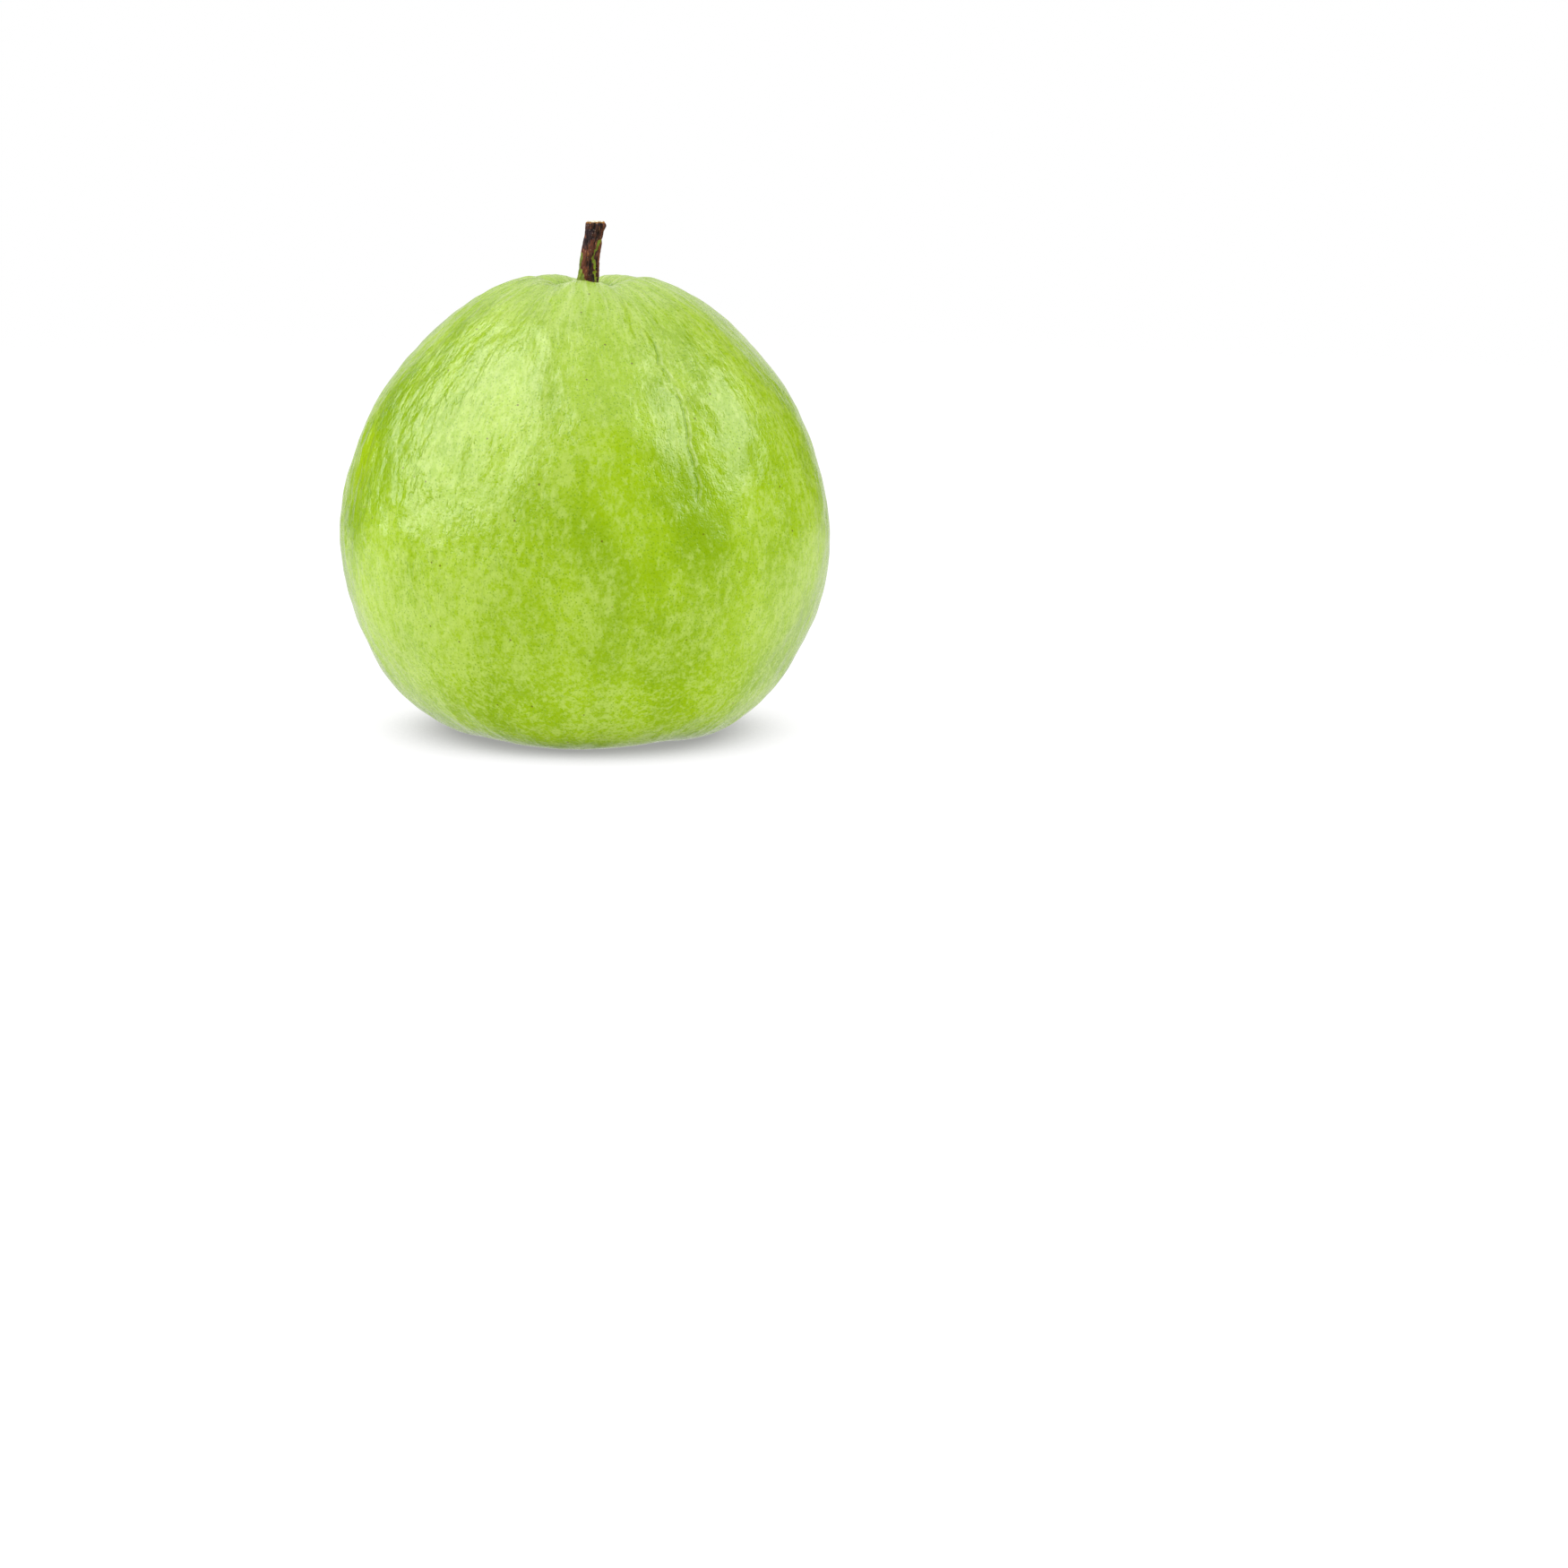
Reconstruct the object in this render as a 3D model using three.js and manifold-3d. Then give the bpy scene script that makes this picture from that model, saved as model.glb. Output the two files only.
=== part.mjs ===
// A whole guava, picked with a short piece of its stem, standing on its blossom end.
//
// Millimetres, +Z up. The origin lies on the surface that the fruit stands on, under
// the middle of the fruit. The front is -Y. Angles round the fruit are in degrees and
// are measured from the front towards +X. Distances along the skin run from the edge
// of the stem's socket, over the rim and the belly, to the middle of the blossom end.

import * as THREE from 'three';
import { mergeVertices } from 'three/addons/utils/BufferGeometryUtils.js';
import Module from 'manifold-3d';

// Driving dimensions of the fruit
const FRUIT_WIDTH = 95;
const RIM_HEIGHT = 88.2;
const BELLY_HEIGHT = 38;
const FOOT_RADIUS = 20;
const FOOT_PRESSED = 0.35;
const STEM_HOLLOW_DEPTH = 4;
const BLOSSOM_HOLLOW_DEPTH = 7.4;

// Driving dimensions of the stem
const STEM_TOP_HEIGHT = 98.4;
const STEM_WIDTH = 3.9;
const STEM_ROOT_WIDTH = 5.6;
const STEM_LEAN = 8;
const SOCKET_DEPTH = 2.5;

// Driving dimensions of the dried calyx
const CALYX_RADIUS = 4.6;
const SEPAL_THICKNESS = 0.9;
const SEPAL_ROOT_DROP = 0.7;
const SEPAL_CUPPING = 0.09;

// Clear space kept between two pieces
const GAP = 0.3;

// Fineness of the faceted surfaces
const FRUIT_SIDES = 72;
const FRUIT_ROWS = 56;
const STEM_SIDES = 20;
const SEPAL_SIDES = 10;
const SEPAL_STATIONS = 8;

const BELLY_RADIUS = FRUIT_WIDTH / 2;
const STEM_HOLLOW_FLOOR = RIM_HEIGHT - STEM_HOLLOW_DEPTH;
const SOCKET_RADIUS = STEM_WIDTH / 2 + GAP;
const PEG_WIDTH = STEM_WIDTH - 0.4;
const CALYX_TOP = BLOSSOM_HOLLOW_DEPTH - GAP - 0.2;

const { degToRad, smoothstep } = THREE.MathUtils;

const wasm = await Module();
wasm.setup();

// A point at a radius, an angle and a height round the fruit's axis.
function polar(radius, angle, height) {
  const turn = degToRad(angle);
  return new THREE.Vector3(radius * Math.sin(turn), -radius * Math.cos(turn), height);
}

// A closed skin through rings that all have the same number of points, in order along
// the piece, with a fan to the middle of each end.
function loft(rings) {
  const sides = rings[0].length;
  const middleOf = (ring) =>
    ring.reduce((sum, point) => sum.add(point), new THREE.Vector3()).divideScalar(sides);
  const points = [...rings.flat(), middleOf(rings[0]), middleOf(rings.at(-1))];
  const firstMiddle = points.length - 2;
  const lastMiddle = points.length - 1;
  const lastRing = (rings.length - 1) * sides;
  const faces = [];
  for (let side = 0; side < sides; side++) {
    const next = (side + 1) % sides;
    faces.push(firstMiddle, side, next);
    for (let row = 0; row < rings.length - 1; row++) {
      const here = row * sides;
      const below = here + sides;
      faces.push(here + side, below + side, below + next);
      faces.push(here + side, below + next, here + next);
    }
    faces.push(lastMiddle, lastRing + next, lastRing + side);
  }
  return new THREE.BufferGeometry().setFromPoints(points).setIndex(faces);
}

// Half of the fruit's section, from the edge of the socket to the blossom end, as
// radius and height. The places between the driving dimensions follow the photograph.
const section = new THREE.CatmullRomCurve3(
  [
    [SOCKET_RADIUS, STEM_HOLLOW_FLOOR],
    [4.6, STEM_HOLLOW_FLOOR + 0.5],
    [7.2, RIM_HEIGHT - 1.3],
    [10.4, RIM_HEIGHT],
    [15.8, RIM_HEIGHT - 1.3],
    [23.5, RIM_HEIGHT - 5.6],
    [33.2, RIM_HEIGHT - 14.7],
    [41, RIM_HEIGHT - 25.8],
    [BELLY_RADIUS - 1.2, BELLY_HEIGHT + 9],
    [BELLY_RADIUS, BELLY_HEIGHT],
    [BELLY_RADIUS - 0.9, BELLY_HEIGHT - 9],
    [BELLY_RADIUS - 4.2, BELLY_HEIGHT - 19],
    [38, 9.6],
    [32.2, 4],
    [FOOT_RADIUS + 6.6, 0.7],
    [FOOT_RADIUS, -FOOT_PRESSED],
    [FOOT_RADIUS - 5, 0.6],
    [11.6, BLOSSOM_HOLLOW_DEPTH - 3.6],
    [8, BLOSSOM_HOLLOW_DEPTH - 0.9],
    [1, BLOSSOM_HOLLOW_DEPTH],
  ].map(([radius, height]) => new THREE.Vector3(radius, 0, height)),
  false,
  'centripetal',
);
const SKIN_LENGTH = section.getLength();

// Where the skin folds into furrows round each end of the fruit, and how deep. A reach
// says at what distance from its end a form starts, is full, starts to fade and is gone.
const STEM_FURROWS = {
  angles: [-35, 27, 115, 180, 250],
  depth: 1.5,
  softness: 0.75,
  reach: { start: 0.5, full: 6, fading: 8, gone: 46 },
};
const BLOSSOM_FURROWS = {
  angles: [-48, 35, 95, 150, 220],
  depth: 0.75,
  softness: 1.3,
  reach: { start: 5, full: 15, fading: 20, gone: 62 },
};
const RIM_LOWER_BEHIND = 1.1;

// The furrow that runs on from the rim, swaying, down the front of the fruit: a sharp
// crease in the middle of a soft valley. Widths are in degrees.
const LONG_FURROW = {
  angle: 27.5,
  sway: 1.5,
  swayFrom: 8,
  swayLength: 44,
  crease: { width: 3.5, depth: 0.3, reach: { start: 26, full: 36, fading: 52, gone: 74 } },
  valley: { width: 11, depth: 0.75, reach: { start: 10, full: 30, fading: 62, gone: 100 } },
};

// Low swellings that make the sides uneven: each has a height, a number of waves round
// the fruit, a twist in radians for each millimetre along the skin, and a start
const SWELLINGS = [
  { height: 0.35, waves: 2, twist: 0, start: 0.7 },
  { height: 0.28, waves: 3, twist: 0.048, start: 2.2 },
  { height: 0.24, waves: 5, twist: -0.077, start: 0 },
  { height: 0.16, waves: 9, twist: 0.125, start: 1.1 },
];
const SIDE_FROM_STEM = { start: 10, full: 40 };
const SIDE_FROM_BLOSSOM = { start: 22, full: 50 };

// Turns an angle to between -180 and 180 degrees.
function wrapped(angle) {
  return THREE.MathUtils.euclideanModulo(angle + 180, 360) - 180;
}

// 0 in a furrow, 1 on the crown of the lobe between two furrows. Softness rounds the
// bottom of the furrow.
function lobe(angle, { angles, softness }) {
  const turned = THREE.MathUtils.euclideanModulo(angle - angles[0], 360) + angles[0];
  const after = angles.findIndex((furrow) => furrow > turned);
  const end = after < 0 ? angles[0] + 360 : angles[after];
  const start = after < 0 ? angles.at(-1) : angles[after - 1];
  return Math.sin((Math.PI * (turned - start)) / (end - start)) ** softness;
}

// How fully a form shows at a distance from the end that it starts from.
function within(distance, { start, full, fading, gone }) {
  return smoothstep(distance, start, full) * (1 - smoothstep(distance, fading, gone));
}

// How far the skin stands out of, or sinks into, the round section.
function relief(angle, along) {
  const turn = degToRad(angle);
  const fromBlossom = SKIN_LENGTH - along;

  const nearStem = within(along, STEM_FURROWS.reach);
  const stemFurrows = nearStem * STEM_FURROWS.depth * (1 - lobe(angle, STEM_FURROWS));
  const lowerBehind = nearStem * RIM_LOWER_BEHIND * (0.5 - 0.5 * Math.cos(turn)) ** 2;

  const nearBlossom = within(fromBlossom, BLOSSOM_FURROWS.reach);
  const blossomFurrows =
    nearBlossom * BLOSSOM_FURROWS.depth * (1 - lobe(angle, BLOSSOM_FURROWS));

  const swayed = (2 * Math.PI * (along - LONG_FURROW.swayFrom)) / LONG_FURROW.swayLength;
  const off = wrapped(angle - LONG_FURROW.angle - LONG_FURROW.sway * Math.cos(swayed));
  const longFurrow = [LONG_FURROW.crease, LONG_FURROW.valley].reduce(
    (sum, { width, depth, reach }) =>
      sum + depth * within(along, reach) * Math.exp(-((off / width) ** 2)),
    0,
  );

  const onSide =
    smoothstep(along, SIDE_FROM_STEM.start, SIDE_FROM_STEM.full) *
    smoothstep(fromBlossom, SIDE_FROM_BLOSSOM.start, SIDE_FROM_BLOSSOM.full);
  const swelling = SWELLINGS.reduce(
    (sum, { height, waves, twist, start }) =>
      sum + height * Math.sin(waves * turn + twist * along + start),
    0,
  );
  return onSide * swelling - stemFurrows - lowerBehind - blossomFurrows - longFurrow;
}

// The fruit, in one piece: skin and flesh, with a socket for the stem and a hollow at
// each end. Its weight presses the lobes of the foot flat where it stands.
function fruitGeometry() {
  const angles = Array.from({ length: FRUIT_SIDES }, (_, i) => (360 / FRUIT_SIDES) * i);
  const skin = Array.from({ length: FRUIT_ROWS + 1 }, (_, row) => {
    const share = row / FRUIT_ROWS;
    const middle = section.getPointAt(share);
    const slope = section.getTangentAt(share);
    return angles.map((angle) => {
      const out = relief(angle, share * SKIN_LENGTH);
      const radius = middle.x - slope.z * out;
      return polar(radius, angle, Math.max(0, middle.z + slope.x * out));
    });
  });
  const socket = angles.map((angle) =>
    polar(SOCKET_RADIUS, angle, STEM_HOLLOW_FLOOR - SOCKET_DEPTH),
  );
  return loft([socket, ...skin]);
}

// The stem: a woody stalk with a root that flares over the socket's edge, a ridged
// bark and a square cut at the top.
function stemGeometry() {
  const foot = STEM_HOLLOW_FLOOR + GAP;
  const rings = [
    { height: foot - SOCKET_DEPTH, width: PEG_WIDTH, bark: 0 },
    { height: foot, width: PEG_WIDTH, bark: 0 },
    { height: foot + 0.05, width: STEM_ROOT_WIDTH, bark: 0.3 },
    { height: foot + 0.7, width: STEM_ROOT_WIDTH - 0.3, bark: 0.6 },
    { height: foot + 2.2, width: STEM_WIDTH + 0.8, bark: 0.8 },
    { height: foot + 4, width: STEM_WIDTH + 0.4, bark: 1 },
    { height: foot + 6, width: STEM_WIDTH + 0.15, bark: 1 },
    { height: foot + 8, width: STEM_WIDTH, bark: 1 },
    { height: foot + 10, width: STEM_WIDTH - 0.1, bark: 1 },
    { height: foot + 12, width: STEM_WIDTH - 0.05, bark: 1 },
    { height: STEM_TOP_HEIGHT - 1, width: STEM_WIDTH + 0.1, bark: 1 },
    { height: STEM_TOP_HEIGHT - 0.15, width: STEM_WIDTH, bark: 1 },
    { height: STEM_TOP_HEIGHT, width: STEM_WIDTH - 0.4, bark: 0.6 },
  ];
  const lean = Math.tan(degToRad(STEM_LEAN));
  return loft(
    rings.reverse().map(({ height, width, bark }) =>
      Array.from({ length: STEM_SIDES }, (_, side) => {
        const angle = (360 / STEM_SIDES) * side;
        const turn = degToRad(angle);
        const ridges =
          0.05 * Math.sin(3 * turn + height / 9) + 0.06 * Math.sin(7 * turn + height / 5);
        const point = polar((width / 2) * (1 + bark * ridges), angle, height);
        point.x += lean * Math.max(0, height - foot);
        return point;
      }),
    ),
  );
}

// The dried sepals, as they stand round the blossom end. Each leaves the collar at its
// rise, in degrees from straight down, curls outwards over its length and sweeps
// sideways.
const SEPALS = [
  { angle: 20, length: 7.6, width: 5.4, rise: 22, curl: 88, sweep: 1.8 },
  { angle: 95, length: 6.8, width: 4.8, rise: 40, curl: 62, sweep: -1.2 },
  { angle: 165, length: 7.9, width: 5.6, rise: 12, curl: 118, sweep: 1 },
  { angle: 236, length: 6.4, width: 4.6, rise: 46, curl: 58, sweep: -1.6 },
  { angle: 304, length: 7.2, width: 5.2, rise: -34, curl: -46, sweep: 1.4 },
];

// One sepal: a pointed blade, cupped across its width.
function sepalGeometry({ angle, length, width, rise, curl, sweep }) {
  const rings = [];
  let radius = CALYX_RADIUS - 0.2;
  let height = CALYX_TOP - SEPAL_ROOT_DROP;
  for (let station = 0; station <= SEPAL_STATIONS; station++) {
    const share = station / SEPAL_STATIONS;
    const heading = degToRad(rise + curl * share);
    const breadth = (width / 2) * (1 - share ** 2.2) ** 0.7 + 0.35;
    const across = sweep * share ** 2;
    rings.push(
      Array.from({ length: SEPAL_SIDES }, (_, side) => {
        const turn = (2 * Math.PI * side) / SEPAL_SIDES;
        const sideways = breadth * Math.cos(turn);
        const cup = SEPAL_CUPPING * sideways ** 2;
        const through = (SEPAL_THICKNESS / 2) * Math.sin(turn) + cup;
        return new THREE.Vector3(
          across + sideways,
          -(radius - through * Math.cos(heading)),
          height - through * Math.sin(heading),
        ).applyAxisAngle(new THREE.Vector3(0, 0, 1), degToRad(angle));
      }),
    );
    radius += (length / SEPAL_STATIONS) * Math.sin(heading);
    height -= (length / SEPAL_STATIONS) * Math.cos(heading);
  }
  return loft(rings);
}

// The collar that the sepals grow from, round the scar where the flower sat.
function collarGeometry() {
  const outline = [
    [CALYX_RADIUS - 1.3, CALYX_TOP],
    [CALYX_RADIUS + 0.7, CALYX_TOP - 0.2],
    [CALYX_RADIUS + 0.4, CALYX_TOP - 1.3],
    [CALYX_RADIUS - 0.9, CALYX_TOP - 1.5],
    [CALYX_RADIUS - 1.3, CALYX_TOP],
  ].map(([radius, height]) => new THREE.Vector2(radius, height));
  return new THREE.LatheGeometry(outline.reverse(), 30)
    .applyMatrix4(new THREE.Matrix4().makeRotationX(Math.PI / 2));
}

// A closed geometry as a solid that can be joined or cut.
function solid(geometry) {
  const bare = geometry.clone();
  bare.deleteAttribute('normal');
  bare.deleteAttribute('uv');
  const merged = mergeVertices(bare, 1e-4);
  return new wasm.Manifold(
    new wasm.Mesh({
      numProp: 3,
      vertProperties: merged.attributes.position.array,
      triVerts: new Uint32Array(merged.index.array),
    }),
  );
}

// A solid as a geometry again.
function geometryOf(manifold) {
  const { vertProperties, triVerts } = manifold.getMesh();
  return new THREE.BufferGeometry()
    .setAttribute('position', new THREE.BufferAttribute(vertProperties, 3))
    .setIndex(new THREE.BufferAttribute(triVerts, 1));
}

// The calyx: the collar and its sepals, which grew as one piece.
function calyxGeometry() {
  const joined = SEPALS.reduce(
    (whole, sepal) => whole.add(solid(sepalGeometry(sepal))),
    solid(collarGeometry()),
  );
  return geometryOf(joined);
}

function piece(name, geometry, color, roughness) {
  geometry.computeVertexNormals();
  const material = new THREE.MeshStandardMaterial({ color, roughness, metalness: 0 });
  const mesh = new THREE.Mesh(geometry, material);
  mesh.name = name;
  return mesh;
}

const guava = new THREE.Group();
guava.name = 'guava';
guava.add(
  piece('fruit', fruitGeometry(), 0xa9d04e, 0.42),
  piece('stem', stemGeometry(), 0x5a3a2a, 0.85),
  piece('calyx', calyxGeometry(), 0x7a3d20, 0.8),
);

export default guava;
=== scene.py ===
"""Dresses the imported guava: a waxy, mottled skin with its furrows, a barked stem and a
dried calyx, on a pale floor in soft studio light. Blender units are metres, +Z is up and
the front is -Y. Lengths are named in millimetres and multiplied by MM where they are used.
"""

import math
from types import SimpleNamespace

import bpy
from mathutils import Euler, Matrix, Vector, noise


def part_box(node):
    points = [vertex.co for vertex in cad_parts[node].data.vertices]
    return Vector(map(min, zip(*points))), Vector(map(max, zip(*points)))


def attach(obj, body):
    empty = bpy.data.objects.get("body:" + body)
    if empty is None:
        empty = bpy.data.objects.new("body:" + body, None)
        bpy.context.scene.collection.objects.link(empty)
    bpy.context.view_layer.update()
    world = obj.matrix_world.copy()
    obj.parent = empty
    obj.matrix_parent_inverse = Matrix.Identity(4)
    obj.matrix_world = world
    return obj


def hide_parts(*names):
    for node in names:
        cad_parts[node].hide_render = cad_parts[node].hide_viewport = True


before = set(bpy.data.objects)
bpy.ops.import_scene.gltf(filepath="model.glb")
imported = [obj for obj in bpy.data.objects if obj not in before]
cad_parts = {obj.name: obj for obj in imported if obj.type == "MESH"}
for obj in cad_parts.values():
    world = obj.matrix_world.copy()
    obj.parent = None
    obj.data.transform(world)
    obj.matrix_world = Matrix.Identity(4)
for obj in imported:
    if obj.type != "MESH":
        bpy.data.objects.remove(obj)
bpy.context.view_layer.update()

MM = 0.001
MERGE_DISTANCE = 0.001

# Vector noise is shifted by the clock's time unless it has a seed
NOISE_SEED = 1

# Places that the frame gives, in millimetres, and the middle of the belly
FRUIT_LOW, FRUIT_HIGH = [[value / MM for value in corner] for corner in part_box("fruit")]
STEM_LOW, STEM_HIGH = [[value / MM for value in corner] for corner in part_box("stem")]
BELLY_RADIUS = (FRUIT_HIGH[0] - FRUIT_LOW[0]) / 2
FRUIT_HEIGHT = FRUIT_HIGH[2]
CORE_HEIGHT = 0.48 * FRUIT_HEIGHT

# The camera: where the photograph has the fruit, in its own pixels, and how it looks at it
PHOTO_SIDE_PX = 1750
FRUIT_AXIS_PX = 654
FRUIT_FOOT_PX = 812
PX_PER_MM = 5.79
CAMERA_ELEVATION = 8
CAMERA_DISTANCE = 1100
CAMERA_TARGET_HEIGHT = 45
SENSOR_WIDTH = 36

# The studio: radiances are shares of the white background's. What shows in the gloss
# follows the reflections in the photograph: a large softbox on the left, a smaller one on
# the right, a pale ceiling, floor and back wall, and a dark front.
FLOOR_RADIUS = 700
FLOOR_COLOR = (0.14, 0.13, 0.155, 1)
FLOOR_GLOW = 0.93
FLOOR_SHADOW = 0.65
FLOOR_SHADOW_REACH = 24
ROOM_BEHIND = 0.75
ROOM_OVERHEAD = 0.9
ROOM_BELOW = 0.65
ROOM_IN_FRONT = 0.02
ROOM_LIGHT = 0.78
# Azimuth and elevation in degrees, distance and size, radiance, and whether the panel is
# a softbox that shows in gloss or a fill light
PANELS = [
    (-80, 40, 690, (800, 880), 1.2, True),
    (-78, 40, 700, (1080, 1060), 1.3, True),
    (83, 37, 690, (460, 460), 1.4, True),
    (83, 37, 700, (640, 620), 1.4, True),
    (-112, 12, 900, (1000, 800), 2.3, False),
    (80, 20, 900, (900, 800), 0.75, False),
    (0, 60, 900, (900, 700), 1.1, False),
]

# Fineness of the meshes
SKIN_VOXEL = 0.67
STEM_VOXEL = 0.11
CALYX_VOXEL = 0.15

# How deep each relief is pressed in, and for the skin the weight that leaves it unmoved
SKIN_RELIEFS = {"swell": (0.4, 0.42), "wrinkle": (0.3, 0.42), "crease": (0.34, 0)}
STEM_RELIEFS = {"root": -0.9, "bark": 0.4, "knot": -0.35, "ragged": 0.25}
CALYX_LIFT = 0.45

# The sharp crease in the long furrow, from the rim down, as height and angle in degrees
CREASE_PATH = [
    (83.7, 33), (78.2, 28.3), (74.5, 26), (71.5, 27.8), (68.7, 28.7), (63.2, 28.8),
    (60.5, 27.4), (56.7, 27.7), (52.6, 28.3), (47.5, 26.3), (43, 25.5),
]
# Heights between which the crease starts at its foot and ends at its head
CREASE_FOOT = (44, 56)
CREASE_HEAD = (73, 80)
# The skin knows how far it is from the crease in a band of this width
CREASE_BAND = 12

# The skin's regions, each from where it starts to where it is full: along the skin from
# the stem, out from the axis or up
NEAR_STEM_ALONG = (34, 8)
STEM_HOLLOW_OUT = (8.5, 5)
STEM_HOLLOW_UP = (60, 70)
UNDERSIDE_UP = (26, 12)
SCAR_OUT = (7.8, 6)
SCAR_UP = (12, 9)

# Where light and shade are painted into the skin, deeper (under 0) or paler (over 0) than
# elsewhere: painted shade in a band on the left, low in the middle and in the furrow right
# of the crease, and painted light low on the left and high up. As angle, height, the
# place's half width in degrees and half height, and how much
PAINTED_LIGHT_AND_SHADE = [
    (-70, 54, 13, 15, -0.5),
    (12, 47, 22, 14, -0.3),
    (37, 54, 16, 14, -0.2),
    (-42, 26, 32, 15, 0.22),
    (-20, 64, 22, 14, 0.15),
]

# The stem: how it leans from its foot up, and where its bark is still green
STEM_LEAN = 8
STEM_FOOT = STEM_LOW[2] + 2.5
STEM_TOP = STEM_HIGH[2]
GREEN_STRIP = [(94.8, 51), (92.4, 30), (91.1, 18), (89.3, 39), (87.5, 49), (84, 52)]
GREEN_EDGE = [(92.6, -80), (91.5, -62), (89.4, -50), (88.2, -22), (86.5, 0), (84, 8)]

# Heights at which the green of the strip, of the left edge and of the back ends
GREEN_STRIP_END = (94.2, 95.2)
GREEN_EDGE_END = (91.8, 92.8)
GREEN_BACK_END = (86.4, 88.6)

# The angles at which the calyx's sepals stand
SEPAL_ANGLES = [20, 95, 165, 236, 304]


def srgb(red, green, blue):
    """A colour seen on screen, from 0 to 255, as Blender's linear colour."""
    shares = [value / 255 for value in (red, green, blue)]
    linear = [s / 12.92 if s <= 0.04045 else ((s + 0.055) / 1.055) ** 2.4 for s in shares]
    return (*linear, 1)


# The colours of the skin, the bark and the dried sepals
SKIN = SimpleNamespace(
    deep=srgb(142, 181, 0),
    fresh=srgb(160, 198, 0),
    # painted light, laid on the deepest painted shade
    painted_light=srgb(174, 208, 0),
    # the pale veil, which also shows the painted light and shade
    veil_and_painted_light=srgb(186, 222, 40),
    mottle=srgb(206, 230, 122),
    net=srgb(208, 236, 110),
    streak=srgb(224, 240, 178),
    between_streaks=srgb(140, 190, 20),
    # painted shade in the stem's hollow
    hollow_shade=srgb(116, 170, 20),
    oil_dot=srgb(108, 158, 0),
    speck=srgb(100, 84, 16),
    # painted shade in the crease
    crack=srgb(104, 152, 30),
    # a painted highlight along the crease's lip
    lip=srgb(222, 238, 176),
    scar=srgb(104, 66, 30),
    # painted shade in the skin's folds
    fold=srgb(122, 172, 10),
)
BARK = SimpleNamespace(
    dark=srgb(60, 28, 20),
    light=srgb(116, 56, 32),
    rust=srgb(190, 116, 62),
    purple=srgb(48, 28, 34),
    crack=srgb(22, 12, 14),
    scale=srgb(170, 150, 136),
    green=srgb(96, 118, 6),
    fresh_green=srgb(142, 160, 28),
    rusty_edge=srgb(150, 78, 30),
    torn_edge=srgb(206, 138, 30),
    wood=srgb(252, 246, 222),
    old_wood=srgb(236, 216, 160),
)
SEPAL = SimpleNamespace(
    dark=srgb(106, 62, 36),
    light=srgb(150, 98, 50),
    rust=srgb(184, 128, 66),
    middle=srgb(112, 92, 76),
    wrinkle=srgb(66, 38, 22),
    collar=srgb(148, 146, 52),
    scar=srgb(96, 70, 42),
)


def take_up(piece):
    """Makes a piece the only selected and active object."""
    bpy.ops.object.select_all(action="DESELECT")
    piece.select_set(True)
    bpy.context.view_layer.objects.active = piece


def finish_modifier(piece, kind, **settings):
    """Adds a modifier to a piece and applies it."""
    take_up(piece)
    modifier = piece.modifiers.new(kind.title(), kind)
    for name, value in settings.items():
        setattr(modifier, name, value)
    bpy.ops.object.modifier_apply(modifier=modifier.name)


def shade_smooth(piece):
    take_up(piece)
    bpy.ops.object.shade_smooth()


def copy_of_node(node, name):
    """A new piece with its own copy of a CAD node's mesh, merged into one surface."""
    piece = bpy.data.objects.new(name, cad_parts[node].data.copy())
    piece.data.materials.clear()
    bpy.context.scene.collection.objects.link(piece)
    take_up(piece)
    bpy.ops.object.mode_set(mode="EDIT")
    bpy.ops.mesh.select_all(action="SELECT")
    bpy.ops.mesh.remove_doubles(threshold=MERGE_DISTANCE * MM)
    bpy.ops.mesh.tris_convert_to_quads()
    bpy.ops.object.mode_set(mode="OBJECT")
    return piece


def paint(piece, layer, weight_at):
    """Paints a vertex group on a piece, from 0 to 1, by each vertex's place in millimetres."""
    group = piece.vertex_groups.new(name=layer)
    for vertex in piece.data.vertices:
        weight = weight_at(vertex.co / MM)
        group.add([vertex.index], min(max(weight, 0), 1), "REPLACE")


def paint_layers(piece, layers, kept):
    """Paints a piece's layers, and keeps some of them for its material."""
    for layer, weight_at in layers.items():
        paint(piece, layer, weight_at)
    for layer in kept:
        keep_as_attribute(piece, layer)


def press(piece, layer, depth, unmoved=0):
    """Sinks a piece, in millimetres, as far as a vertex group's weight is over the weight
    that leaves it unmoved, and raises it where it is under, away from its flat spots."""
    finish_modifier(piece, "DISPLACE", vertex_group=layer, strength=-depth * MM, mid_level=0)
    if unmoved:
        rise = depth * unmoved * MM
        finish_modifier(piece, "DISPLACE", vertex_group="clear", strength=rise, mid_level=0)


def keep_as_attribute(piece, layer):
    """Stores a vertex group's weights as an attribute that a material can read."""
    index = piece.vertex_groups[layer].index
    attribute = piece.data.attributes.new(layer + "_mask", "FLOAT", "POINT")
    for vertex in piece.data.vertices:
        for share in vertex.groups:
            if share.group == index:
                attribute.data[vertex.index].value = share.weight


def smooth_step(value, start, end):
    share = min(max((value - start) / (end - start), 0), 1)
    return share * share * (3 - 2 * share)


def angle_of(point):
    """The angle of a place round the fruit's axis, in degrees from the front towards +X."""
    return math.degrees(math.atan2(point.x, -point.y))


def skin_place(point):
    """A place on the skin for patterns that follow it: a point on a drum as wide as the
    belly, whose height is the distance along the skin from the stem, in millimetres."""
    out = math.hypot(point.x, point.y) + 1e-6
    along = BELLY_RADIUS * (math.pi / 2 - math.atan2(point.z - CORE_HEIGHT, out))
    return Vector((BELLY_RADIUS * point.x / out, BELLY_RADIUS * point.y / out, along))


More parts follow.
